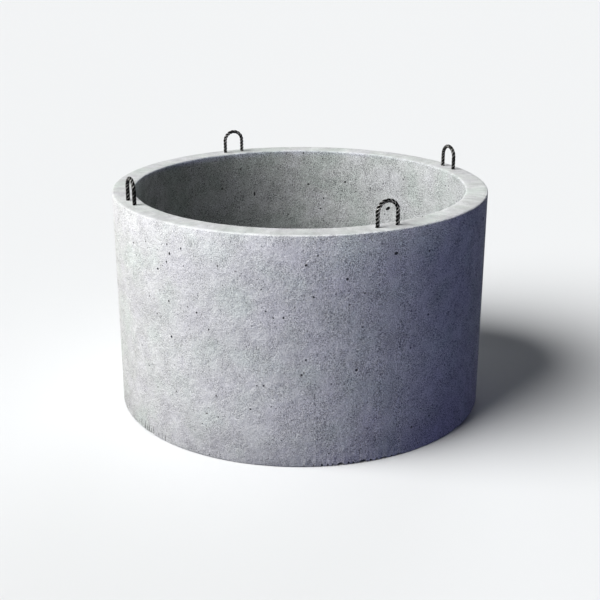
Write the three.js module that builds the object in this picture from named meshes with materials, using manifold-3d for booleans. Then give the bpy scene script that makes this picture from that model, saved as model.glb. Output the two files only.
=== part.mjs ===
// Precast concrete culvert and well ring with four cast-in lifting loops.
//
// The ring is one thick-walled concrete tube that stands on its end, flat on
// both rims, with every arris broken by a small chamfer. Four loops of ribbed
// reinforcing bar stand out of the upper rim at quarter turns, in the middle of
// the wall. Each is one bent bar: an arch above the rim, two legs that run down
// inside the wall and a foot bent outward at the end of each leg, which holds
// the loop in the concrete when the ring is lifted.
//
// Units are millimetres and +Z is up. The origin is the centre of the lower
// rim, and the loops stand on the X and Y axes.

import * as THREE from 'three';
import { mergeVertices } from 'three/addons/utils/BufferGeometryUtils.js';
import Module from 'manifold-3d';

// Ring
const OUTER_DIAMETER = 1700;
const BORE_DIAMETER = 1500;
const HEIGHT = 1000;
const CHAMFER = 6; // leg of the 45 degree chamfer on each arris
const RING_FACETS = 180;

// Lifting loop
const BAR_DIAMETER = 16; // over the plain bar, without its ribs
const LOOP_RISE = 112; // rim to the top of the arch
const LEG_SPACING = 92; // between the legs' centre lines
const ANCHOR_DEPTH = 300; // rim to the centre line of the feet
const BEND_RADIUS = 40; // centre line of the bend between leg and foot
const FOOT_LENGTH = 60; // straight part of the foot, past the bend
const SEAT_GAP = 0.3; // between the bar and the concrete cast around it
const BAR_FACETS = 16;
const ARCH_STEPS = 18;
const BEND_STEPS = 6;

const outerRadius = OUTER_DIAMETER / 2;
const boreRadius = BORE_DIAMETER / 2;
const wallMiddle = (outerRadius + boreRadius) / 2;
const barRadius = BAR_DIAMETER / 2;
const archRadius = LEG_SPACING / 2;
const springing = LOOP_RISE - barRadius - archRadius; // rim to where the arch begins

const concrete = new THREE.MeshStandardMaterial({ color: 0xb4b5b4, roughness: 0.9, metalness: 0 });
const barSteel = new THREE.MeshStandardMaterial({ color: 0x2b2b2a, roughness: 0.55, metalness: 0.85 });

const wasm = await Module();
wasm.setup();

/** Turns a closed geometry into a solid that can be cut and joined. */
function solidOf(geometry) {
  const bare = geometry.clone();
  bare.deleteAttribute('normal');
  bare.deleteAttribute('uv');
  const merged = mergeVertices(bare, 1e-4);
  return new wasm.Manifold(new wasm.Mesh({
    numProp: 3,
    vertProperties: merged.attributes.position.array,
    triVerts: new Uint32Array(merged.index.array),
  }));
}

/** Turns a solid back into a geometry with flat facets. */
function geometryOf(solid) {
  const mesh = solid.getMesh();
  const geometry = new THREE.BufferGeometry();
  geometry.setAttribute('position', new THREE.BufferAttribute(mesh.vertProperties, 3));
  geometry.setIndex(new THREE.BufferAttribute(mesh.triVerts, 1));
  const faceted = geometry.toNonIndexed();
  faceted.computeVertexNormals();
  return faceted;
}

/**
 * Centre line of a bent bar, laid out in the XZ plane by straight runs and
 * bends from a start point. Every piece of it carries its own number of sweep
 * steps, so a straight run costs one step and a bend as many as it needs.
 */
class BentBarPath extends THREE.Curve {
  constructor(x, z, heading) {
    super();
    this.end = new THREE.Vector2(x, z);
    this.heading = heading; // angle from +X towards +Z
    this.pieces = [];
  }

  run(length) {
    const start = this.end.clone();
    const along = new THREE.Vector2(Math.cos(this.heading), Math.sin(this.heading));
    const at = (t) => start.clone().addScaledVector(along, length * t);
    this.pieces.push({ steps: 1, at });
    this.end = at(1);
    return this;
  }

  // A positive angle turns from +X towards +Z, a negative one the other way.
  bend(radius, angle, steps) {
    const side = Math.sign(angle);
    const from = this.heading - side * Math.PI / 2;
    const spoke = (a) => new THREE.Vector2(Math.cos(a), Math.sin(a)).multiplyScalar(radius);
    const centre = this.end.clone().sub(spoke(from));
    const at = (t) => spoke(from + angle * t).add(centre);
    this.pieces.push({ steps, at });
    this.end = at(1);
    this.heading += angle;
    return this;
  }

  get steps() {
    return this.pieces.reduce((sum, piece) => sum + piece.steps, 0);
  }

  getPoint(t, target = new THREE.Vector3()) {
    let station = t * this.steps;
    let piece = this.pieces[0];
    for (piece of this.pieces) {
      if (station <= piece.steps) break;
      station -= piece.steps;
    }
    const { x, y } = piece.at(Math.min(station / piece.steps, 1));
    return target.set(x, 0, y);
  }

  // Sections stand at the path's own steps instead of at equal lengths.
  getUtoTmapping(u) {
    return u;
  }
}

/** Round section swept along a bent bar's centre line. */
function sweptBar(path, radius) {
  const section = new THREE.Shape();
  for (let i = 0; i < BAR_FACETS; i += 1) {
    const a = (i / BAR_FACETS) * 2 * Math.PI;
    const [x, y] = [radius * Math.cos(a), radius * Math.sin(a)];
    if (i === 0) section.moveTo(x, y);
    else section.lineTo(x, y);
  }
  return new THREE.ExtrudeGeometry(section, { steps: path.steps, extrudePath: path });
}

/** The whole loop: foot, leg, arch, leg and foot, as one bent bar. Z = 0 is the rim. */
function loopPath() {
  const leg = ANCHOR_DEPTH - BEND_RADIUS + springing;
  return new BentBarPath(-archRadius - BEND_RADIUS - FOOT_LENGTH, -ANCHOR_DEPTH, 0)
    .run(FOOT_LENGTH)
    .bend(BEND_RADIUS, Math.PI / 2, BEND_STEPS)
    .run(leg)
    .bend(archRadius, -Math.PI, ARCH_STEPS)
    .run(leg)
    .bend(BEND_RADIUS, Math.PI / 2, BEND_STEPS)
    .run(FOOT_LENGTH);
}

/** The hole that the concrete leaves round one leg and its foot, open at the rim. */
function legHolePath(side) {
  const past = 5; // above the rim, so that the hole opens through it
  return new BentBarPath(side * archRadius, past, -Math.PI / 2)
    .run(past + ANCHOR_DEPTH - BEND_RADIUS)
    .bend(BEND_RADIUS, side * Math.PI / 2, BEND_STEPS)
    .run(FOOT_LENGTH + SEAT_GAP);
}

/** Closed section of the wall, turned about the Z axis. */
function plainRing() {
  const section = [
    [boreRadius + CHAMFER, 0],
    [outerRadius - CHAMFER, 0],
    [outerRadius, CHAMFER],
    [outerRadius, HEIGHT - CHAMFER],
    [outerRadius - CHAMFER, HEIGHT],
    [boreRadius + CHAMFER, HEIGHT],
    [boreRadius, HEIGHT - CHAMFER],
    [boreRadius, CHAMFER],
    [boreRadius + CHAMFER, 0],
  ].map(([r, z]) => new THREE.Vector2(r, z));
  return new THREE.LatheGeometry(section, RING_FACETS).rotateX(Math.PI / 2);
}

// Where each loop stands, as quarter turns from the -Y axis.
const loopNames = ['front', 'right', 'back', 'left'];
const loopTurn = (index) => (index * Math.PI) / 2;

/** Puts a loop's geometry in the wall: drawn across the -Y side, then turned. */
function placed(object, index) {
  const turned = new THREE.Group();
  object.position.set(0, -wallMiddle, HEIGHT);
  turned.rotation.z = loopTurn(index);
  turned.add(object);
  turned.updateMatrixWorld(true);
  return turned;
}

const part = new THREE.Group();

// The ring, with a hole for each buried leg.
let ringSolid = solidOf(plainRing());
loopNames.forEach((name, index) => {
  for (const side of [-1, 1]) {
    const hole = new THREE.Mesh(sweptBar(legHolePath(side), barRadius + SEAT_GAP));
    placed(hole, index);
    ringSolid = ringSolid.subtract(solidOf(hole.geometry.clone().applyMatrix4(hole.matrixWorld)));
  }
});
const ring = new THREE.Mesh(geometryOf(ringSolid), concrete);
ring.name = 'concrete_ring';
part.add(ring);

// The four lifting loops.
const loopGeometry = sweptBar(loopPath(), barRadius);
loopNames.forEach((name, index) => {
  const loop = new THREE.Mesh(loopGeometry, barSteel);
  loop.name = `lifting_loop_${name}`;
  part.add(placed(loop, index));
});

export default part;
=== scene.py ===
# A precast concrete culvert ring with four lifting loops, standing on its end.
# Metres, +Z up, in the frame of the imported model: the lower rim is at Z = 0.

import math

import bpy
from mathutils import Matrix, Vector, noise


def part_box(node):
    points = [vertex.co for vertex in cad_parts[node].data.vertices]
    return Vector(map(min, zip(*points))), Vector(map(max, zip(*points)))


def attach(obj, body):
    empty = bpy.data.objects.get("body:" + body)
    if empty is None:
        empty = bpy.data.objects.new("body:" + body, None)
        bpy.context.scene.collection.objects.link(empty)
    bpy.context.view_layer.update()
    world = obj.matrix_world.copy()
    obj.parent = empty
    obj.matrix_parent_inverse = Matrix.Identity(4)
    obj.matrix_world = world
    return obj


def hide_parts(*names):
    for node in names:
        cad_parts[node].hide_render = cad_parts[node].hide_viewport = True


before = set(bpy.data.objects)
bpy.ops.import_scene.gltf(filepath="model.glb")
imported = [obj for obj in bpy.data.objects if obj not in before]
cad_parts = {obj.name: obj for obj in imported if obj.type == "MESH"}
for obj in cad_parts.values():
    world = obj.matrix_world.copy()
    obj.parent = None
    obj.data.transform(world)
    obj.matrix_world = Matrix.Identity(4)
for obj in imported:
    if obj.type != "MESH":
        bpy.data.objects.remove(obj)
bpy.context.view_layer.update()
scene = bpy.context.scene


# ---------------------------------------------------------------- concrete ring
# One tube of fine-grained concrete, vibrated upright between an outer and an
# inner steel form. Both walls show the form's smooth skin with its air holes,
# the upper rim was struck off by hand, and the lower arris is a little broken.

OUTER_RADIUS, _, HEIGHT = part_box("concrete_ring")[1]
WALL = 0.100
BORE_RADIUS = OUTER_RADIUS - WALL
WALL_MIDDLE = OUTER_RADIUS - WALL / 2

AROUND = 900  # steps round the ring
WALL_ROWS = 6
RIM_ROWS = 4
BED_ROWS = 1  # across the lower rim, which nothing shows
ARRIS_ROWS = 5

ARRIS = 0.0065  # how far each arris is rounded off
ARRIS_FULLNESS = 0.85  # 1 rounds it to a quarter circle, less is nearer to a flat chamfer
MEAN_WEAR = 0.85  # wear of an arris, against the size above
FINE_WEAR = 0.018, 0.22  # size of its quick changes, and how much they add or take
SLOW_WEAR = 0.110, 0.25  # and of its slow ones
CRUMB_SIZE = 0.045  # size of the spots that have crumbled further
CRUMB_START = 0.25  # noise above which a spot has crumbled

# The four arrises: radius, height, the ways into the concrete along the radius
# and along Z, the seed of the wear, and how much has crumbled.
OUTER_FOOT = OUTER_RADIUS, 0, -1, 1, 11, 1.6
OUTER_HEAD = OUTER_RADIUS, HEIGHT, -1, -1, 23, 0.4
INNER_HEAD = BORE_RADIUS, HEIGHT, 1, -1, 37, 0.4
INNER_FOOT = BORE_RADIUS, 0, 1, 1, 41, 1.2

WAVE = 0.0008  # how far the walls and the rim stray from true
WALL_WAVE = 0.35, 51  # size of the walls' waves, and their seed
RIM_WAVE = 0.12, 61


def wander(point, size, seed):
    """Smooth noise from -1 to 1 that changes over the given size."""
    elsewhere = Vector((seed, 3.7 * seed, 0))
    return noise.noise(Vector(point) / size + elsewhere)


def arris_wear(bearing, radius, seed, crumbled):
    """How far the arris is worn back at a bearing, in metres."""
    place = (radius * math.cos(bearing), radius * math.sin(bearing), 0)
    fine_size, fine_share = FINE_WEAR
    slow_size, slow_share = SLOW_WEAR
    fine = wander(place, fine_size, seed)
    slow = wander(place, slow_size, seed + 5)
    crumbs = max(0.0, wander(place, CRUMB_SIZE, seed + 9) - CRUMB_START)
    return ARRIS * (MEAN_WEAR + fine_share * fine + slow_share * slow + crumbled * crumbs)


def arris_points(bearing, radius, height, into_r, into_z, seed, crumbled):
    """Points that round an arris off at a bearing, from the wall to the rim."""
    size = arris_wear(bearing, radius, seed, crumbled)
    points = []
    for row in range(ARRIS_ROWS):
        a = math.pi / 2 * row / (ARRIS_ROWS - 1)
        r = radius + into_r * size * (1 - math.cos(a)) ** ARRIS_FULLNESS
        z = height + into_z * size * (1 - math.sin(a)) ** ARRIS_FULLNESS
        points.append((r, z))
    return points


def between(start, end, rows):
    """Evenly spaced points between two points, without the ends."""
    steps = [(i + 1) / (rows + 1) for i in range(rows)]
    return [(start[0] + (end[0] - start[0]) * t, start[1] + (end[1] - start[1]) * t) for t in steps]


def wall_section(bearing):
    """Closed section of the wall at a bearing: up outside, in over the rim, down inside."""
    outer_foot = arris_points(bearing, *OUTER_FOOT)
    outer_head = arris_points(bearing, *OUTER_HEAD)
    inner_head = arris_points(bearing, *INNER_HEAD)
    inner_foot = arris_points(bearing, *INNER_FOOT)
    section = outer_foot[::-1]
    section += between(outer_foot[0], outer_head[0], WALL_ROWS) + outer_head
    section += between(outer_head[-1], inner_head[-1], RIM_ROWS) + inner_head[::-1]
    section += between(inner_head[0], inner_foot[0], WALL_ROWS) + inner_foot
    section += between(inner_foot[-1], outer_foot[-1], BED_ROWS)
    return section


def ring_mesh():
    """The ring as one closed shell."""
    vertices, faces = [], []
    for step in range(AROUND):
        bearing = 2 * math.pi * step / AROUND
        across, along = math.cos(bearing), math.sin(bearing)
        section = wall_section(bearing)
        for r, z in section:
            point = (r * across, r * along, z)
            inward = WAVE * (1 + wander(point, *WALL_WAVE)) / 2
            sunk = WAVE * (1 + wander(point, *RIM_WAVE)) / 2
            r -= inward if r > WALL_MIDDLE else -inward
            z -= sunk if z > HEIGHT / 2 else 0
            vertices.append((r * across, r * along, z))
    rows = len(section)
    for step in range(AROUND):
        here, there = step * rows, (step + 1) % AROUND * rows
        for row in range(rows):
            up = (row + 1) % rows
            faces.append((here + row, there + row, there + up, here + up))
    mesh = bpy.data.meshes.new("concrete_ring_cast")
    mesh.from_pydata(vertices, [], faces)
    return mesh


ring = bpy.data.objects.new("concrete_ring_cast", ring_mesh())
scene.collection.objects.link(ring)

# The concrete itself: cement grey with sand showing as fine specks, cloudy patches where the mix dried
# unevenly, and pinholes in the skin, painted dark as the shade in them.

CEMENT = (0.66, 0.665, 0.66, 1)
RIM_CEMENT = (0.558, 0.568, 0.566, 1)
BORE_TINT = (0.965, 0.988, 1.0, 1)  # the bore is a little cooler than the outside
GREENISH = (0.962, 1.0, 0.973, 1)  # tints that drift over the whole ring
LILAC = (0.984, 0.970, 1.0, 1)
# the tint of the painted bluish shade towards the foot at the front right
DAMP_TINT = (0.90, 0.875, 1.0, 1)
# painted shade inside the pinholes
PINHOLE_GREY = (0.12, 0.12, 0.125, 1)
PINHOLE_SHARE = 0.72  # how far a pinhole takes that grey
CEMENT_SHINE = 0.03  # dry cement mirrors next to nothing

SPECK = 0.0036  # size of a sand speck
COARSE = 2.4  # size of the coarser sand, against a speck
COARSE_HEIGHT = 0.5
CLOUD = 0.11  # size of a cloudy patch
TINT_SIZE = 1.4  # size of a tinted patch, against a cloudy one
RAW_PATCH = 0.07  # size of the patches where the skin is raw or closed
DISH = 0.030  # size of the shallow dishes in the skin
DISH_DEPTH = 1.6  # and how deep they are, against the specks
PINHOLE = 0.011  # spacing of the pinholes
NO_PINHOLE = 0.80  # share of the places that have none
PINHOLE_REACH = 1.2  # how much the chance past that widens one
PINHOLE_EDGE = 14.0  # how steep its edge is
PINHOLE_DEPTH = 1.6  # against the specks
STREAK = 0.0035, 0.09  # width and length of the trowel's streaks across the rim
SWEEP = 0.030, 0.070  # and of its paler and darker sweeps
STREAK_HEIGHT = 0.3
RELIEF = 0.0030  # height of the whole relief, in metres
RELIEF_SHARE = 1.0, 0.35  # how much of it the walls and the rim show

OFF, ON = 0.0, 1.0
MOST = 0.30, 0.70  # where most of a noise's values lie


def put(tree, kind, inputs=None, **settings):
    """Adds a node with its settings, and wires or sets its inputs by name or number."""
    node = tree.nodes.new(kind)
    for name, value in settings.items():
        setattr(node, name, value)
    for name, value in (inputs or {}).items():
        if isinstance(name, int):
            socket = node.inputs[name]
        else:
            socket = next(s for s in node.inputs if s.name == name and s.enabled)
        if isinstance(value, bpy.types.NodeSocket):
            tree.links.new(value, socket)
        else:
            socket.default_value = value
    return node


def sums(tree, operation, *values, clamp=False):
    """A math node's result."""
    inputs = dict(enumerate(values))
    return put(tree, "ShaderNodeMath", inputs, operation=operation, use_clamp=clamp).outputs[0]


def times(tree, product, *factors):
    """Several values multiplied."""
    for factor in factors:
        product = sums(tree, "MULTIPLY", product, factor)
    return product


def vectors(tree, operation, vector, other):
    """A vector math node's result, with a second vector or, for SCALE, a number."""
    second = "Scale" if operation == "SCALE" else 1
    return put(tree, "ShaderNodeVectorMath", {0: vector, second: other}, operation=operation).outputs[0]


def concrete_grain():
    """Node group: the grain that all faces of the concrete share."""
    tree = bpy.data.node_groups.new("concrete grain", "ShaderNodeTree")
    face = tree.interface
    for name, value in (("Speck Size", SPECK), ("Cloud Size", CLOUD), ("Pinhole Spacing", PINHOLE)):
        socket = face.new_socket(name, in_out="INPUT", socket_type="NodeSocketFloat")
        socket.default_value = value
    place = face.new_socket("Place", in_out="INPUT", socket_type="NodeSocketVector")
    place.hide_value = True
    for name in ("Speckle", "Cloud", "Tint", "Pinhole", "Height"):
        face.new_socket(name, in_out="OUTPUT", socket_type="NodeSocketFloat")
    given = put(tree, "NodeGroupInput").outputs

    def texture(size, detail, roughness, shift=0.0):
        """Noise of a given size, shifted so that no two lie in step."""
        spot = vectors(tree, "ADD", given["Place"], (shift, shift, shift))
        scale = sums(tree, "DIVIDE", 1.0, size)
        inputs = {"Vector": spot, "Scale": scale, "Detail": detail, "Roughness": roughness}
        return put(tree, "ShaderNodeTexNoise", inputs).outputs["Fac"]

    coarse_size = times(tree, given["Speck Size"], COARSE)
    tint_size = times(tree, given["Cloud Size"], TINT_SIZE)
    speck = texture(given["Speck Size"], detail=3.0, roughness=0.7)
    coarse = texture(coarse_size, detail=2.0, roughness=0.6, shift=4.0)
    cloud = texture(given["Cloud Size"], detail=4.0, roughness=0.62, shift=7.0)
    tint = texture(tint_size, detail=2.0, roughness=0.5, shift=11.0)

    # Some cells have a pinhole in their middle, each with a reach of its own.
    density = sums(tree, "DIVIDE", 1.0, given["Pinhole Spacing"])
    cells = put(tree, "ShaderNodeTexVoronoi", {
        "Vector": given["Place"], "Scale": density, "Randomness": 1.0}).outputs
    chance = put(tree, "ShaderNodeSeparateColor", {0: cells["Color"]}).outputs[0]
    reach = times(tree, sums(tree, "SUBTRACT", chance, NO_PINHOLE, clamp=True), PINHOLE_REACH)
    inside = sums(tree, "SUBTRACT", reach, cells["Distance"])
    pinhole = sums(tree, "MULTIPLY", inside, PINHOLE_EDGE, clamp=True)

    height = sums(tree, "MULTIPLY_ADD", coarse, COARSE_HEIGHT, speck)
    height = sums(tree, "SUBTRACT", height, times(tree, pinhole, PINHOLE_DEPTH))
    put(tree, "NodeGroupOutput", {
        "Speckle": speck, "Cloud": cloud, "Tint": tint, "Pinhole": pinhole, "Height": height})
    return tree


grain_group = concrete_grain()


def clouds(tree, vector, size, detail=2.0, roughness=0.5, output="Fac"):
    """Noise that changes over the given size."""
    return put(tree, "ShaderNodeTexNoise", {
        "Vector": vector, "Scale": 1 / size, "Detail": detail, "Roughness": roughness}).outputs[output]


def spread(tree, value, reads, gives):
    """Maps one range onto another, and keeps to its ends outside it."""
    return put(tree, "ShaderNodeMapRange", {
        "Value": value, "From Min": reads[0], "From Max": reads[1],
        "To Min": gives[0], "To Max": gives[1]}).outputs[0]


def either(tree, share, first, second):
    """Two numbers mixed by a share."""
    return put(tree, "ShaderNodeMix", {0: share, 2: first, 3: second}, data_type="FLOAT").outputs[0]


def blended(tree, share, first, second, way="MIX"):
    """Two colours mixed by a share."""
    return put(tree, "ShaderNodeMix", {0: share, 6: first, 7: second},
               data_type="RGBA", blend_type=way, clamp_factor=True).outputs[2]


def grey_of(tree, tone):
    """A tone as a grey."""
    return put(tree, "ShaderNodeCombineColor", {0: tone, 1: tone, 2: tone}).outputs[0]


def fresh_material(name):
    """A new material, with its node tree, its shader and the place on the piece."""
    material = bpy.data.materials.new(name)
    material.use_nodes = True
    tree = material.node_tree
    place = put(tree, "ShaderNodeTexCoord").outputs["Object"]
    return material, tree, tree.nodes["Principled BSDF"], place


# The skin's changes of tone. Each reads one range, and multiplies the tone by
# the two factors at its ends. X runs across the ring to the right, Z up it.
RIM_STARTS = (HEIGHT - 0.0060, HEIGHT - 0.0025), (OFF, ON)  # by Z
BORE_STARTS = (BORE_RADIUS + 0.006, BORE_RADIUS + 0.002), (OFF, ON)  # by the distance from the axis
SPECKS = MOST, (-1.05, 1.05)  # how far a speck swings the tone, to dark or to pale
RAWNESS = (0.38, 0.58), (0.55, 1.25)  # how much of that swing a closed and a raw patch show
OUTSIDE_CONTRAST = (-0.55, -0.05), (0.70, 1.50)  # and how much the outside does, by X: more towards +X, where it is painted shade of the relief under grazing light
BORE_CONTRAST = (-0.20, 0.60), (1.75, 1.20)  # and the bore
PALEST = (-0.55, 0.0), (1.27, 1.42)  # the palest a grain gets, by X
DARKEST = 0.22  # and the darkest, so that none turns black seen close up
RIM_STREAKS = MOST, (0.96, 1.03)
RIM_SWEEPS = (0.34, 0.66), (0.87, 1.06)
RIM_SPECKS = MOST, (0.80, 1.17)
CLOUDINESS = MOST, (0.90, 1.08)
RAW_TONE = (0.38, 0.60), (1.035, 0.955)
BORE_SHADE = 0.76  # painted shade: the bore is a little darker than the outside
BORE_STAINS = (0.36, 0.62), (1.06, 0.95)
BORE_END_SHADE = (0.40, 0.66), (1.0, 0.87)  # by X: painted shade, darker where the bore's wall faces the key lamp
FOOT_SHADE = (0.0, 0.45 * HEIGHT), (0.86, 1.0)  # painted shade: the walls get darker towards their foot
HEAD_SHADE = (0.6 * HEIGHT, 0.9 * HEIGHT), (1.0, 1.11)  # and painted light: paler towards their top

# Painted bluish shade: towards the foot at the front right, the walls are bluish and darker still.
DAMP_UP = (0.05 * HEIGHT, 0.42 * HEIGHT), (ON, OFF)  # by Z
DAMP_ACROSS = (-0.40, 0.30), (OFF, ON)  # by X
DAMP_BACK = (-0.50, 0.10), (ON, OFF)  # by Y
DAMP_SHADE = (OFF, ON), (1.0, 0.91)

# A painted highlight: a pale line along the upper arrises that comes and goes.
CHALK = 0.34  # how much paler it is
CHALK_IN = (0.008, 0.003), (OFF, ON)  # by the distance in from the wall's face
CHALK_UP = (HEIGHT - 0.009, HEIGHT - 0.003), (OFF, ON)  # by Z
CHALK_ACROSS = (-0.85, -0.40), (0.1, ON)  # by X
CHALK_BREAK = 0.03  # size of its breaks
CHALK_BREAKS = (0.36, 0.56), (0.15, ON)

GREENISH_FROM = (0.50, 0.68), (OFF, ON)
LILAC_FROM = (0.50, 0.34), (OFF, ON)
SKIN_ROUGHNESS = MOST, (0.93, 0.80)


def cast_concrete():
    """The skin of both walls and the struck-off rim."""
    material, tree, shader, place = fresh_material("cast concrete")
    grain = put(tree, "ShaderNodeGroup", {"Place": place}, node_tree=grain_group).outputs
    x, y, z = put(tree, "ShaderNodeSeparateXYZ", {0: place}).outputs
    flat = vectors(tree, "MULTIPLY", place, (1, 1, 0))
    reach = put(tree, "ShaderNodeVectorMath", {0: flat}, operation="LENGTH").outputs["Value"]
    heading = put(tree, "ShaderNodeVectorMath", {0: flat}, operation="NORMALIZE").outputs[0]
    on_rim = spread(tree, z, *RIM_STARTS)
    in_bore = spread(tree, reach, *BORE_STARTS)
    patch = clouds(tree, place, RAW_PATCH)

    # The walls: specks of sand, strongest where the skin is raw, and on the outside stronger towards +X,
    # where their contrast is painted shade of the relief under grazing light.
    contrast = either(tree, in_bore, spread(tree, x, *OUTSIDE_CONTRAST), spread(tree, x, *BORE_CONTRAST))
    swing = times(tree, spread(tree, grain["Speckle"], *SPECKS), contrast)
    wall_tone = sums(tree, "MULTIPLY_ADD", swing, spread(tree, patch, *RAWNESS), 1.0)
    wall_tone = sums(tree, "MINIMUM", wall_tone, spread(tree, x, *PALEST))
    wall_tone = sums(tree, "MAXIMUM", wall_tone, DARKEST)

    # The rim: smoother, paler and drawn out in streaks across the wall.
    def drawn(width, length):
        """Noise in patches that lie across the rim."""
        turned = vectors(tree, "SCALE", heading, OUTER_RADIUS / width)
        lengthways = put(tree, "ShaderNodeCombineXYZ", {"Z": sums(tree, "DIVIDE", reach, length)}).outputs[0]
        return clouds(tree, vectors(tree, "ADD", turned, lengthways), 1.0, detail=3.0, roughness=0.6)

    streak = drawn(*STREAK)
    sweep = drawn(*SWEEP)
    rim_tone = times(
        tree, spread(tree, streak, *RIM_STREAKS), spread(tree, sweep, *RIM_SWEEPS),
        spread(tree, grain["Speckle"], *RIM_SPECKS))

    # Both: cloudy, with painted shade in the bore and towards the foot, and painted light towards the head.
    tone = either(tree, on_rim, wall_tone, rim_tone)
    tone = times(tree, tone, spread(tree, grain["Cloud"], *CLOUDINESS), spread(tree, patch, *RAW_TONE))
    # The bore's stains, with its painted shade.
    stained = times(
        tree, spread(tree, grain["Tint"], *BORE_STAINS), BORE_SHADE, spread(tree, x, *BORE_END_SHADE))
    # Painted bluish shade towards the foot at the front right.
    damp = times(
        tree, spread(tree, z, *DAMP_UP), spread(tree, x, *DAMP_ACROSS), spread(tree, y, *DAMP_BACK))
    tone = times(
        tree, tone, either(tree, in_bore, 1.0, stained), spread(tree, z, *FOOT_SHADE),
        spread(tree, damp, *DAMP_SHADE), spread(tree, z, *HEAD_SHADE))

    # The painted highlight along the upper arrises.
    from_outside = sums(tree, "SUBTRACT", OUTER_RADIUS, reach)
    from_bore = sums(tree, "SUBTRACT", reach, BORE_RADIUS)
    in_from_wall = sums(tree, "MINIMUM", from_outside, from_bore)
    breaks = clouds(tree, place, CHALK_BREAK, roughness=0.6)
    chalk = times(
        tree, spread(tree, in_from_wall, *CHALK_IN), spread(tree, z, *CHALK_UP),
        spread(tree, breaks, *CHALK_BREAKS), spread(tree, x, *CHALK_ACROSS))
    tone = sums(tree, "MULTIPLY_ADD", chalk, CHALK, tone)

    colour = blended(tree, on_rim, CEMENT, RIM_CEMENT)
    colour = blended(tree, in_bore, colour, BORE_TINT, "MULTIPLY")
    colour = blended(tree, spread(tree, grain["Tint"], *GREENISH_FROM), colour, GREENISH, "MULTIPLY")
    colour = blended(tree, spread(tree, grain["Tint"], *LILAC_FROM), colour, LILAC, "MULTIPLY")
    # the tint of the painted bluish shade
    colour = blended(tree, damp, colour, DAMP_TINT, "MULTIPLY")
    colour = blended(tree, 1.0, colour, grey_of(tree, tone), "MULTIPLY")
    # Painted shade in the pinholes.
    colour = blended(tree, times(tree, grain["Pinhole"], PINHOLE_SHARE), colour, PINHOLE_GREY)
    tree.links.new(colour, shader.inputs["Base Color"])
    tree.links.new(spread(tree, grain["Cloud"], *SKIN_ROUGHNESS), shader.inputs["Roughness"])
    shader.inputs["Specular IOR Level"].default_value = CEMENT_SHINE

    relief = sums(tree, "MULTIPLY_ADD", clouds(tree, place, DISH), DISH_DEPTH, grain["Height"])
    relief = times(tree, relief, spread(tree, on_rim, (OFF, ON), RELIEF_SHARE))
    relief = sums(tree, "MULTIPLY_ADD", times(tree, streak, on_rim), STREAK_HEIGHT, relief)
    bump = put(tree, "ShaderNodeBump", {"Strength": 1.0, "Distance": RELIEF, "Height": relief})
    tree.links.new(bump.outputs[0], shader.inputs["Normal"])
    return material


# Under the skin, in the air holes and the broken spots, the concrete is bare and rough, and its dark colour
# there is painted shade.

RAW_SPECK = 0.0035
RAW_CLOUD = 0.03
RAW_ROUGHNESS = MOST, (1.0, 0.88)
RAW_RELIEF = 0.7
HOLE_GREY = (0.07, 0.07, 0.073, 1)  # painted shade: the dark inside of an air hole
BROKEN_GREY = (0.24, 0.237, 0.23, 1)  # painted shade: the dark inside of a break


def raw_concrete(name, colour, contrast, depth):
    """Concrete without its skin, with its specks' contrast and the depth of its relief."""
    material, tree, shader, place = fresh_material(name)
    grain = put(tree, "ShaderNodeGroup", {
        "Place": place, "Speck Size": RAW_SPECK, "Cloud Size": RAW_CLOUD}, node_tree=grain_group).outputs
    tone = spread(tree, grain["Speckle"], MOST, (1 - contrast, 1 + contrast))
    speckled = blended(tree, 1.0, colour, grey_of(tree, tone), "MULTIPLY")
    tree.links.new(speckled, shader.inputs["Base Color"])
    tree.links.new(spread(tree, grain["Cloud"], *RAW_ROUGHNESS), shader.inputs["Roughness"])
    bump = put(tree, "ShaderNodeBump", {"Strength": RAW_RELIEF, "Distance": depth, "Height": grain["Height"]})
    tree.links.new(bump.outputs[0], shader.inputs["Normal"])
    return material


skin = cast_concrete()
# The air holes' dark grey is painted shade.
hole_inside = raw_concrete("air hole", HOLE_GREY, contrast=0.25, depth=0.0008)
# The breaks' dark grey is painted shade.
broken_face = raw_concrete("broken concrete", BROKEN_GREY, contrast=0.45, depth=0.0025)

# Air holes and spalls are cut out of the cast ring, and so are the holes that
# the buried legs of the loops leave in it. The many small air holes are
# scattered over both walls, and the larger marks are placed one by one.

HOLES_PER_M2 = 110.0
HOLE_SPACING = 0.024  # nearest that two scattered holes come
SMALLEST_HOLE = 0.0012  # radius
LARGEST_HOLE = 0.0046
HOLE_DEPTH = 0.7, 1.0  # least and most depth of a scattered hole, against its radius
HOLE_WIDTH = 0.8, 1.35  # and its width and its height
MOSTLY_SMALL = 2.0  # the power that leaves few of them large
HOLE_SEED = 7
LEAN_OF_WALL = 0.05  # a face whose normal rises or falls more than this isn't a wall's
SHARP_FROM = 38  # degrees between two faces, above which their edge stays sharp

# Of each kind of cutter, the rings of faces on a ball, the size of its lumps and
# how far they stray.
SCATTERED_CUTTER = 5, 0.0040, 0.0005
HOLE_CUTTER = 12, 0.0060, 0.0014
SPALL_CUTTER = 24, 0.0110, 0.0045
SCRATCH_CUTTER = 10, 0.0120, 0.0010

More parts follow.
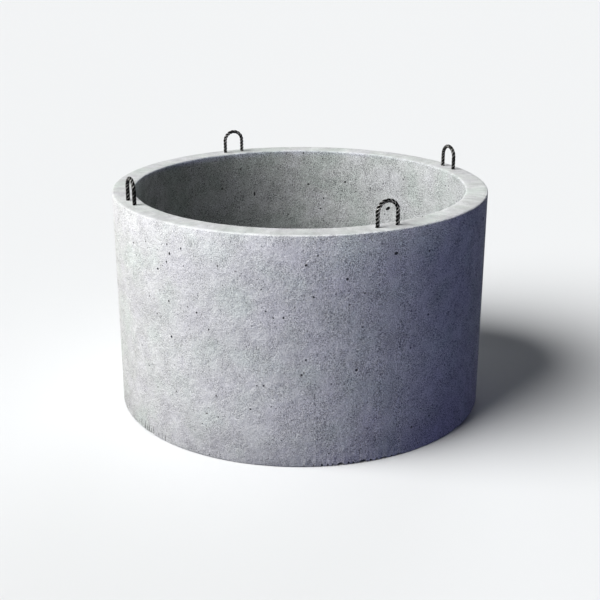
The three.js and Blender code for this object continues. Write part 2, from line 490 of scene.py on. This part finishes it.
# Of each mark, the bearing in degrees, the height above the lower rim, the half
# sizes in, round and up, and for a slanting one the degrees it leans.
OUTER_HOLES = [
    (-154, 0.870, (0.005, 0.005, 0.006)),
    (-159, 0.790, (0.004, 0.005, 0.005)),
    (-155, 0.663, (0.004, 0.004, 0.006)),
    (-114, 0.879, (0.005, 0.006, 0.005)),
    (-103, 0.815, (0.005, 0.005, 0.006)),
    (-112, 0.747, (0.004, 0.005, 0.004)),
    (-120, 0.660, (0.004, 0.004, 0.005)),
    (-89, 0.900, (0.006, 0.009, 0.006)),
    (-100, 0.425, (0.005, 0.006, 0.006)),
    (-171, 0.862, (0.003, 0.004, 0.004)),
    (-164, 0.891, (0.003, 0.003, 0.004)),
    (-157, 0.811, (0.003, 0.003, 0.003)),
    (-149, 0.831, (0.003, 0.003, 0.003)),
    (-133, 0.842, (0.003, 0.004, 0.003)),
    (-111, 0.916, (0.003, 0.004, 0.003)),
    (-106, 0.757, (0.003, 0.003, 0.003)),
    (-98, 0.751, (0.003, 0.004, 0.004)),
    (-85, 0.686, (0.003, 0.003, 0.004)),
    (-84, 0.671, (0.003, 0.004, 0.003)),
    (-87, 0.497, (0.003, 0.003, 0.003)),
    (-46, 0.915, (0.006, 0.010, 0.010)),
]
FOOT_NICKS = [  # narrow bites out of the lower arris at the front
    (-114.5, 0.003, (0.013, 0.0030, 0.008)),
    (-111.8, 0.003, (0.013, 0.0035, 0.008)),
    (-109.5, 0.003, (0.015, 0.0045, 0.011)),
    (-107.8, 0.004, (0.014, 0.0035, 0.009)),
    (-106.4, 0.003, (0.015, 0.0040, 0.010)),
    (-101.8, 0.004, (0.016, 0.0045, 0.011)),
    (-100.4, 0.003, (0.014, 0.0040, 0.009)),
    (-95.2, 0.003, (0.015, 0.0050, 0.010)),
    (-93.2, 0.003, (0.014, 0.0035, 0.008)),
    (-88.5, 0.003, (0.014, 0.0040, 0.008)),
]
BORE_HOLES = [
    (27, 0.727, (0.016, 0.015, 0.008), -38),
    (46, 0.840, (0.005, 0.006, 0.006)),
    (61, 0.820, (0.005, 0.007, 0.005)),
    (83, 0.777, (0.005, 0.005, 0.012)),
    (97, 0.823, (0.004, 0.006, 0.005)),
    (28.5, 0.694, (0.003, 0.004, 0.003)),
    (-75, 1.000, (0.016, 0.014, 0.007)),
]
SPALLS = [  # wider pieces that have broken off the lower arris
    (-104.2, 0.005, (0.018, 0.014, 0.009)),
    (-97.6, 0.003, (0.020, 0.015, 0.013)),
    (-91, 0.000, (0.012, 0.014, 0.010)),
    (-86, 0.000, (0.012, 0.016, 0.010)),
    (-30, 0.001, (0.012, 0.030, 0.012)),
    (22, -0.002, (0.014, 0.022, 0.011)),
    (75, 0.000, (0.011, 0.034, 0.010)),
    (128, -0.001, (0.013, 0.018, 0.012)),
]
SCRATCHES = [  # upright gouges over the lower arris at the left
    (-173.5, 0.023, (0.004, 0.0018, 0.013)),
    (-172.0, 0.028, (0.004, 0.0019, 0.017)),
    (-169.6, 0.026, (0.005, 0.0021, 0.022)),
    (-168.4, 0.020, (0.004, 0.0018, 0.016)),
    (-167.2, 0.024, (0.005, 0.0021, 0.021)),
    (-165.9, 0.017, (0.004, 0.0019, 0.014)),
    (-164.8, 0.025, (0.005, 0.0021, 0.021)),
    (-162.2, 0.017, (0.004, 0.0018, 0.013)),
    (-160.6, 0.024, (0.004, 0.0019, 0.021)),
    (-159.1, 0.019, (0.005, 0.0021, 0.016)),
]


def marks(name, places, radius):
    """An object with one point for each mark, and the mark's size and lean on it."""
    mesh = bpy.data.meshes.new(name)
    spots = []
    for bearing, height, *_ in places:
        a = math.radians(bearing)
        spots.append((radius * math.cos(a), radius * math.sin(a), height))
    mesh.from_pydata(spots, [], [])
    size = mesh.attributes.new("size", "FLOAT_VECTOR", "POINT")
    for i, (_, _, extent, *_) in enumerate(places):
        size.data[i].vector = extent
    lean = mesh.attributes.new("lean", "FLOAT", "POINT")
    for i, (_, _, _, *leaning) in enumerate(places):
        lean.data[i].value = math.radians(sum(leaning))
    made = bpy.data.objects.new(name, mesh)
    scene.collection.objects.link(made)
    return made


placed_holes = marks("placed_holes", OUTER_HOLES + FOOT_NICKS, OUTER_RADIUS)
bore_holes = marks("bore_holes", BORE_HOLES, BORE_RADIUS)
spall_spots = marks("spall_spots", SPALLS, OUTER_RADIUS)
scratch_spots = marks("scratch_spots", SCRATCHES, OUTER_RADIUS)

# The legs of the loops stand in the middle of the wall, at quarter turns.
LOOP_BEARINGS = {"front": -90, "right": 0, "back": 90, "left": 180}
LEG_SPACING = 0.092
ANCHOR_DEPTH = 0.300  # rim to the middle of the feet
BEND_RADIUS = 0.040
FOOT_LENGTH = 0.060
BAR_CORE = 0.0073  # radius of the bar between its ribs
LEG_HOLE_SIDES = 24
LEG_HOLE_STEPS = 10  # along the bend between leg and foot
LEG_PAST_RIM = 0.005  # so that the hole opens through the rim


def arc(centre, radius, start, turn, steps):
    """Points along an arc in a loop's own plane, without its first point."""
    angles = [math.radians(start + turn * (i + 1) / steps) for i in range(steps)]
    return [(centre[0] + radius * math.cos(a), centre[1] + radius * math.sin(a)) for a in angles]


def in_wall(points, bearing):
    """Points of a loop's plane, across and up from the rim, put in the wall at a bearing."""
    a = math.radians(bearing)
    cos, sin = math.cos(a), math.sin(a)
    r = WALL_MIDDLE
    return [(r * cos - across * sin, r * sin + across * cos, HEIGHT + up) for across, up in points]


def leg_and_foot(side, steps):
    """Centre line of a buried leg and its foot, from the rim down and outward."""
    leg = side * LEG_SPACING / 2
    centre = (leg + side * BEND_RADIUS, BEND_RADIUS - ANCHOR_DEPTH)
    bend = arc(centre, BEND_RADIUS, 90 + 90 * side, 90 * side, steps)
    return [(leg, 0.0), (leg, centre[1])] + bend + [(centre[0] + side * FOOT_LENGTH, -ANCHOR_DEPTH)]


def curve_of(name, routes):
    """A curve object with one straight-sided spline for each route."""
    curve = bpy.data.curves.new(name, "CURVE")
    curve.dimensions = "3D"
    for route in routes:
        spline = curve.splines.new("POLY")
        spline.points.add(len(route) - 1)
        for point, place in zip(spline.points, route):
            point.co = (*place, 1)
    made = bpy.data.objects.new(name, curve)
    scene.collection.objects.link(made)
    return made


leg_routes = []
for bearing in LOOP_BEARINGS.values():
    for side in (-1, 1):
        route = leg_and_foot(side, LEG_HOLE_STEPS)
        route[0] = (route[0][0], LEG_PAST_RIM)
        leg_routes.append(in_wall(route, bearing))

leg_holes = curve_of("leg_holes", leg_routes)


def ask(tree, kind, *names):
    """Gives a geometry node tree inputs of one kind."""
    for name in names:
        tree.interface.new_socket(name, in_out="INPUT", socket_type="NodeSocket" + kind)


def geometry_tree(name):
    """A new geometry node tree that takes a geometry and gives one."""
    tree = bpy.data.node_groups.new(name, "GeometryNodeTree")
    tree.interface.new_socket("Geometry", in_out="OUTPUT", socket_type="NodeSocketGeometry")
    ask(tree, "Geometry", "Geometry")
    return tree


def made_of(tree, geometry, material):
    """A geometry with a material on it."""
    return put(tree, "GeometryNodeSetMaterial", {"Geometry": geometry, "Material": material}).outputs[0]


def casting_marks():
    """Geometry nodes: cuts the air holes, the spalls and the leg holes out of the cast ring."""
    tree = geometry_tree("casting marks")
    ask(tree, "Float", "Holes per Square Metre", "Spacing", "Smallest", "Largest", "Leg Radius")
    ask(tree, "Int", "Seed")
    ask(tree, "Object", "Outer Holes", "Bore Holes", "Spalls", "Scratches", "Leg Holes")
    ask(tree, "Material", "Skin", "Hole Inside", "Broken Face")
    given = put(tree, "NodeGroupInput").outputs

    def stored(name, kind):
        return put(tree, "GeometryNodeInputNamedAttribute", {"Name": name}, data_type=kind).outputs[0]

    def brought(thing):
        info = put(tree, "GeometryNodeObjectInfo", {"Object": thing}, transform_space="ORIGINAL")
        return info.outputs["Geometry"]

    def turned_with_wall():
        place = put(tree, "GeometryNodeInputPosition").outputs[0]
        x, y, _ = put(tree, "ShaderNodeSeparateXYZ", {0: place}).outputs
        bearing = sums(tree, "ARCTAN2", y, x)
        turn = put(tree, "ShaderNodeCombineXYZ", {"X": stored("lean", "FLOAT"), "Z": bearing}).outputs[0]
        return put(tree, "FunctionNodeEulerToRotation", {0: turn}).outputs[0]

    def lumpy(geometry, lump, stray):
        place = put(tree, "GeometryNodeInputPosition").outputs[0]
        cloud = clouds(tree, place, lump, roughness=0.6, output="Color")
        centred = vectors(tree, "SUBTRACT", cloud, (0.5, 0.5, 0.5))
        offset = vectors(tree, "SCALE", centred, 2 * stray)
        return put(tree, "GeometryNodeSetPosition", {"Geometry": geometry, "Offset": offset}).outputs[0]

    def cutters(points, size, kind, material):
        rings, lump, stray = kind
        ball = put(tree, "GeometryNodeMeshUVSphere", {
            "Radius": 1.0, "Segments": 2 * rings, "Rings": rings}).outputs["Mesh"]
        balls = put(tree, "GeometryNodeInstanceOnPoints", {
            "Points": points, "Instance": ball, "Rotation": turned_with_wall(), "Scale": size}).outputs[0]
        solid = put(tree, "GeometryNodeRealizeInstances", {"Geometry": balls}).outputs[0]
        return made_of(tree, lumpy(solid, lump, stray), material)

    def placed(spots, kind, material):
        return cutters(brought(spots), stored("size", "FLOAT_VECTOR"), kind, material)

    def chance(low, high, shift):
        seed = sums(tree, "ADD", given["Seed"], shift)
        inputs = {"Min": low, "Max": high, "Seed": seed}
        return put(tree, "FunctionNodeRandomValue", inputs, data_type="FLOAT").outputs[1]

    # Scattered air holes, on the two walls only: most of them small, a few large.
    normal = put(tree, "GeometryNodeInputNormal").outputs[0]
    lean = sums(tree, "ABSOLUTE", put(tree, "ShaderNodeSeparateXYZ", {0: normal}).outputs["Z"])
    on_wall = put(tree, "FunctionNodeCompare", {
        0: lean, 1: LEAN_OF_WALL}, data_type="FLOAT", operation="LESS_THAN").outputs[0]
    points = put(tree, "GeometryNodeDistributePointsOnFaces", {
        "Mesh": given["Geometry"], "Selection": on_wall, "Distance Min": given["Spacing"],
        "Density Max": given["Holes per Square Metre"], "Seed": given["Seed"]},
        distribute_method="POISSON").outputs["Points"]
    share = sums(tree, "POWER", chance(0.0, 1.0, shift=1.0), MOSTLY_SMALL)
    span = sums(tree, "SUBTRACT", given["Largest"], given["Smallest"])
    radius = sums(tree, "MULTIPLY_ADD", share, span, given["Smallest"])
    stretch = put(tree, "ShaderNodeCombineXYZ", {
        "X": chance(*HOLE_DEPTH, shift=2.0),
        "Y": chance(*HOLE_WIDTH, shift=3.0),
        "Z": chance(*HOLE_WIDTH, shift=4.0)}).outputs[0]
    size = vectors(tree, "SCALE", stretch, radius)
    scattered = cutters(points, size, SCATTERED_CUTTER, given["Hole Inside"])

    circle = put(tree, "GeometryNodeCurvePrimitiveCircle", {
        "Resolution": LEG_HOLE_SIDES, "Radius": given["Leg Radius"]}).outputs["Curve"]
    tubes = put(tree, "GeometryNodeCurveToMesh", {
        "Curve": brought(given["Leg Holes"]), "Profile Curve": circle, "Fill Caps": True}).outputs[0]

    body = made_of(tree, given["Geometry"], given["Skin"])
    cut = put(tree, "GeometryNodeMeshBoolean", {"Mesh 1": body}, operation="DIFFERENCE", solver="MANIFOLD")
    for cutter in (
            scattered,
            placed(given["Outer Holes"], HOLE_CUTTER, given["Hole Inside"]),
            placed(given["Bore Holes"], HOLE_CUTTER, given["Hole Inside"]),
            placed(given["Spalls"], SPALL_CUTTER, given["Broken Face"]),
            placed(given["Scratches"], SCRATCH_CUTTER, given["Hole Inside"]),
            made_of(tree, tubes, given["Hole Inside"])):
        tree.links.new(cutter, cut.inputs["Mesh 2"])
    put(tree, "NodeGroupOutput", {"Geometry": cut.outputs[0]})
    return tree


def worked_out(made, tree, **values):
    """Runs a geometry node tree on an object and keeps the result as its plain mesh."""
    modifier = made.modifiers.new(tree.name, "NODES")
    modifier.node_group = tree
    for item in tree.interface.items_tree:
        key = item.name.lower().replace(" ", "_")
        if item.in_out == "INPUT" and key in values:
            modifier[item.identifier] = values[key]
    depsgraph = bpy.context.evaluated_depsgraph_get()
    mesh = bpy.data.meshes.new_from_object(made.evaluated_get(depsgraph), depsgraph=depsgraph)
    made.modifiers.remove(modifier)
    return mesh


ring.data = worked_out(
    ring, casting_marks(), holes_per_square_metre=HOLES_PER_M2, spacing=HOLE_SPACING,
    smallest=SMALLEST_HOLE, largest=LARGEST_HOLE, leg_radius=BAR_CORE, seed=HOLE_SEED,
    outer_holes=placed_holes, bore_holes=bore_holes, spalls=spall_spots, scratches=scratch_spots,
    leg_holes=leg_holes, skin=skin, hole_inside=hole_inside, broken_face=broken_face)
ring.data.shade_smooth()
ring.data.set_sharp_from_angle(angle=math.radians(SHARP_FROM))
for spare in (placed_holes, bore_holes, spall_spots, scratch_spots, leg_holes):
    bpy.data.objects.remove(spare)

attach(ring, "root")
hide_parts("concrete_ring")


# ---------------------------------------------------------------- lifting loops
# Four bent bars of hot rolled ribbed steel, black from the mill. Each stands as
# an arch over the rim, and its two legs run down inside the wall to a foot bent
# outward, which the concrete holds.

LOOP_RISE = 0.112  # rim to the top of the arch
BAR_RADIUS = 0.008
ARCH_RADIUS = LEG_SPACING / 2
SPRINGING = LOOP_RISE - BAR_RADIUS - ARCH_RADIUS  # rim to where the arch begins

RIB_HEIGHT = 0.0016
RIB_SPACING = 0.0160  # along the bar
RIB_STARTS = 3.0  # ribs that wind round the bar side by side
RIB_CREST = 0.0018  # width of a rib's flat top
RIB_BASE = 0.0074
SPINE_WIDTH = 0.0024  # top width of the two ribs that run along the bar
SPINE_BASE = 2.2  # their width at the base, against that
SPINE_HEIGHT = 0.9  # and their height, against the other ribs'

BAR_SIDES = 32
BAR_STEP = 0.00125
BEND_STEPS = 24
ARCH_STEPS = 72
LOOP_SHARP_FROM = 60  # degrees


def loop_route():
    """Centre line of a whole loop in its own plane, from foot to foot."""
    left = leg_and_foot(-1, BEND_STEPS)[:0:-1]
    arch = [(-ARCH_RADIUS, SPRINGING)] + arc((0.0, SPRINGING), ARCH_RADIUS, 180, -180, ARCH_STEPS)
    return left + arch + leg_and_foot(1, BEND_STEPS)[1:]


def ribbed_bar():
    """Geometry nodes: sweeps a bar along its centre line and raises the rolled ribs on it."""
    tree = geometry_tree("ribbed bar")
    ask(tree, "Float", "Core Radius", "Rib Height", "Rib Spacing", "Rib Starts", "Rib Crest", "Rib Base")
    ask(tree, "Float", "Spine Width", "Step")
    ask(tree, "Int", "Sides")
    ask(tree, "Material", "Steel")
    given = put(tree, "NodeGroupInput").outputs

    def noted(curve, measure):
        """The curve with a measure of its own kept on it, and that measure."""
        node = put(tree, "GeometryNodeCaptureAttribute", {"Geometry": curve})
        node.capture_items.new("FLOAT", measure)
        tree.links.new(put(tree, "GeometryNodeSplineParameter").outputs[measure], node.inputs[measure])
        return node.outputs["Geometry"], node.outputs[measure]

    def raised(distance, crest, base):
        """1 over a rib's crest, falling to 0 at its base."""
        return put(tree, "ShaderNodeMapRange", {
            "Value": distance, "From Min": times(tree, crest, 0.5), "From Max": times(tree, base, 0.5),
            "To Min": 1.0, "To Max": 0.0}, interpolation_type="SMOOTHSTEP").outputs[0]

    line = put(tree, "GeometryNodeResampleCurve", {
        "Curve": given["Geometry"], "Length": given["Step"]}, mode="LENGTH").outputs[0]
    line, run = noted(line, "Length")
    circle = put(tree, "GeometryNodeCurvePrimitiveCircle", {
        "Resolution": given["Sides"], "Radius": given["Core Radius"]}).outputs["Curve"]
    circle, turn = noted(circle, "Factor")
    bar = put(tree, "GeometryNodeCurveToMesh", {
        "Curve": line, "Profile Curve": circle, "Fill Caps": True}).outputs[0]

    # The ribs that wind round the bar, and the two that run straight along it.
    wound = sums(tree, "DIVIDE", run, given["Rib Spacing"])
    wound = sums(tree, "SUBTRACT", wound, times(tree, turn, given["Rib Starts"]))
    off_rib = times(tree, sums(tree, "PINGPONG", wound, 0.5), given["Rib Spacing"])
    rib = raised(off_rib, given["Rib Crest"], given["Rib Base"])
    girth = times(tree, given["Core Radius"], 2 * math.pi)
    off_spine = times(tree, sums(tree, "PINGPONG", turn, 0.25), girth)
    spine = raised(off_spine, given["Spine Width"], times(tree, given["Spine Width"], SPINE_BASE))
    crest = sums(tree, "MAXIMUM", rib, times(tree, spine, SPINE_HEIGHT))

    normal = put(tree, "GeometryNodeInputNormal").outputs[0]
    lift = vectors(tree, "SCALE", normal, times(tree, crest, given["Rib Height"]))
    marked = put(tree, "GeometryNodeStoreNamedAttribute", {
        "Geometry": bar, "Name": "crest", "Value": crest}, data_type="FLOAT", domain="POINT").outputs[0]
    ribbed = put(tree, "GeometryNodeSetPosition", {"Geometry": marked, "Offset": lift}).outputs[0]
    solid = put(tree, "GeometryNodeRealizeInstances", {"Geometry": ribbed}).outputs[0]
    put(tree, "NodeGroupOutput", {"Geometry": made_of(tree, solid, given["Steel"])})
    return tree


# The steel's finish, as the mill left it and as handling has rubbed it.

MILL_BLACK = (0.002, 0.002, 0.002, 1)
MILL_BROWN = (0.006, 0.006, 0.005, 1)
RUBBED_STEEL = (0.50, 0.49, 0.47, 1)
MILL_GRAIN = 1 / 260  # size of the grain of the mill scale
RUBBED_PATCH = 1 / 45  # size of the patches that are rubbed more or less
RUBBED_CREST = (0.80, 0.97), (OFF, ON)  # how near a rib's crest the rubbing starts
RUBBED_SHARE = (0.40, 0.60), (0.15, ON)
RUBBED_METAL = (OFF, ON), (0.0, 0.95)
RUBBED_ROUGHNESS = 0.28
MILL_ROUGHNESS = MOST, (0.42, 0.62)
MILL_SHINE = 0.02
MILL_RELIEF = 0.5
MILL_RELIEF_HEIGHT = 0.0003


def mill_steel():
    """Black mill scale, rubbed to grey steel on the tops of the ribs."""
    material, tree, shader, place = fresh_material("ribbed bar steel")
    crest = put(tree, "ShaderNodeAttribute", attribute_name="crest").outputs["Fac"]
    scale = clouds(tree, place, MILL_GRAIN, detail=3.0, roughness=0.65)
    patch = clouds(tree, place, RUBBED_PATCH)
    black = blended(tree, spread(tree, scale, MOST, (OFF, ON)), MILL_BLACK, MILL_BROWN)
    rubbed = times(tree, spread(tree, crest, *RUBBED_CREST), spread(tree, patch, *RUBBED_SHARE))
    tree.links.new(blended(tree, rubbed, black, RUBBED_STEEL), shader.inputs["Base Color"])
    tree.links.new(spread(tree, rubbed, *RUBBED_METAL), shader.inputs["Metallic"])
    shader.inputs["Specular IOR Level"].default_value = MILL_SHINE
    dull = either(tree, rubbed, spread(tree, scale, *MILL_ROUGHNESS), RUBBED_ROUGHNESS)
    tree.links.new(dull, shader.inputs["Roughness"])
    bump = put(tree, "ShaderNodeBump", {
        "Strength": MILL_RELIEF, "Distance": MILL_RELIEF_HEIGHT, "Height": scale})
    tree.links.new(bump.outputs[0], shader.inputs["Normal"])
    return material


steel = mill_steel()
bar_tree = ribbed_bar()
for name, bearing in LOOP_BEARINGS.items():
    route = curve_of("loop_route_" + name, [in_wall(loop_route(), bearing)])
    mesh = worked_out(
        route, bar_tree, core_radius=BAR_CORE, rib_height=RIB_HEIGHT, rib_spacing=RIB_SPACING,
        rib_starts=RIB_STARTS, rib_crest=RIB_CREST, rib_base=RIB_BASE, spine_width=SPINE_WIDTH,
        sides=BAR_SIDES, step=BAR_STEP, steel=steel)
    bpy.data.objects.remove(route)
    loop = bpy.data.objects.new("ribbed_loop_" + name, mesh)
    scene.collection.objects.link(loop)
    mesh.shade_smooth()
    mesh.set_sharp_from_angle(angle=math.radians(LOOP_SHARP_FROM))
    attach(loop, "root")
    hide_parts("lifting_loop_" + name)


# ---------------------------------------------------------------- studio
# A pale floor that runs out of sight into a pale backdrop. A large soft lamp
# stands high on the left, a small bluish one low in front and a soft one behind.

FLOOR_HALF = 60.0
FLOOR_DROP = 0.0004  # keeps the floor clear of the lower rim
FLOOR_PALE = (0.78, 0.79, 0.80, 1)
FLOOR_BOUNCE = (0.016, 0.016, 0.018, 1)  # what the floor throws back on the ring
FLOOR_ROUGHNESS = 0.9
SKY_PALE = (0.87, 0.89, 0.90, 1)
SKY_LIGHT = (0.013, 0.013, 0.014, 1)  # what the backdrop throws on it


def shown(tree):
    """1 for a ray that shows the background: seen directly, mirrored or through glass."""
    ray = put(tree, "ShaderNodeLightPath").outputs
    indirect = sums(tree, "ADD", ray["Is Glossy Ray"], ray["Is Transmission Ray"])
    return sums(tree, "ADD", ray["Is Camera Ray"], indirect, clamp=True)


corners = ((-1, -1), (1, -1), (1, 1), (-1, 1))
floor_mesh = bpy.data.meshes.new("studio_floor")
floor_mesh.from_pydata(
    [(x * FLOOR_HALF, y * FLOOR_HALF, -FLOOR_DROP) for x, y in corners], [], [(0, 1, 2, 3)])
floor = bpy.data.objects.new("studio_floor", floor_mesh)
scene.collection.objects.link(floor)
paint = bpy.data.materials.new("studio floor")
paint.use_nodes = True
shader = paint.node_tree.nodes["Principled BSDF"]
floor_colour = blended(paint.node_tree, shown(paint.node_tree), FLOOR_BOUNCE, FLOOR_PALE)
paint.node_tree.links.new(floor_colour, shader.inputs["Base Color"])
shader.inputs["Roughness"].default_value = FLOOR_ROUGHNESS
shader.inputs["Specular IOR Level"].default_value = 0.0
floor.data.materials.append(paint)

world = bpy.data.worlds.new("studio")
world.use_nodes = True
scene.world = world
sky_colour = blended(world.node_tree, shown(world.node_tree), SKY_LIGHT, SKY_PALE)
world.node_tree.links.new(sky_colour, world.node_tree.nodes["Background"].inputs["Color"])


def soft_lamp(name, energy, colour, width, toward, mirrored=False):
    """A far lamp: its width in degrees, the way it stands, and whether gloss mirrors it."""
    light = bpy.data.lights.new(name, "SUN")
    light.energy = energy
    light.color = colour
    light.angle = math.radians(width)
    made = bpy.data.objects.new(name, light)
    made.rotation_euler = Vector(toward).to_track_quat("Z", "Y").to_euler()
    made.visible_glossy = mirrored
    scene.collection.objects.link(made)


soft_lamp("key", 5.15, colour=(1.0, 1.0, 0.99), width=50, toward=(-0.752, 0.066, 0.656), mirrored=True)
soft_lamp("fill", 0.54, colour=(0.46, 0.52, 1.0), width=1.2, toward=(-0.150, -0.989, 0.013))
soft_lamp("back", 2.5, colour=(0.88, 0.92, 1.0), width=30, toward=(0.640, 0.767, 0.045))

SENSOR = 36  # millimetres
LENS = 64.8
CAMERA_PLACE = (-2.091, -4.364, 2.149)
LOOKS_DOWN = 19.5  # degrees
LOOKS_RIGHT = 25.6  # degrees from +Y towards +X

view = bpy.data.cameras.new("camera")
view.sensor_width = SENSOR
view.lens = LENS
camera = bpy.data.objects.new("camera", view)
camera.location = CAMERA_PLACE
camera.rotation_euler = (math.radians(90 - LOOKS_DOWN), 0, math.radians(-LOOKS_RIGHT))
scene.collection.objects.link(camera)
scene.camera = camera
scene.view_settings.view_transform = "Standard"
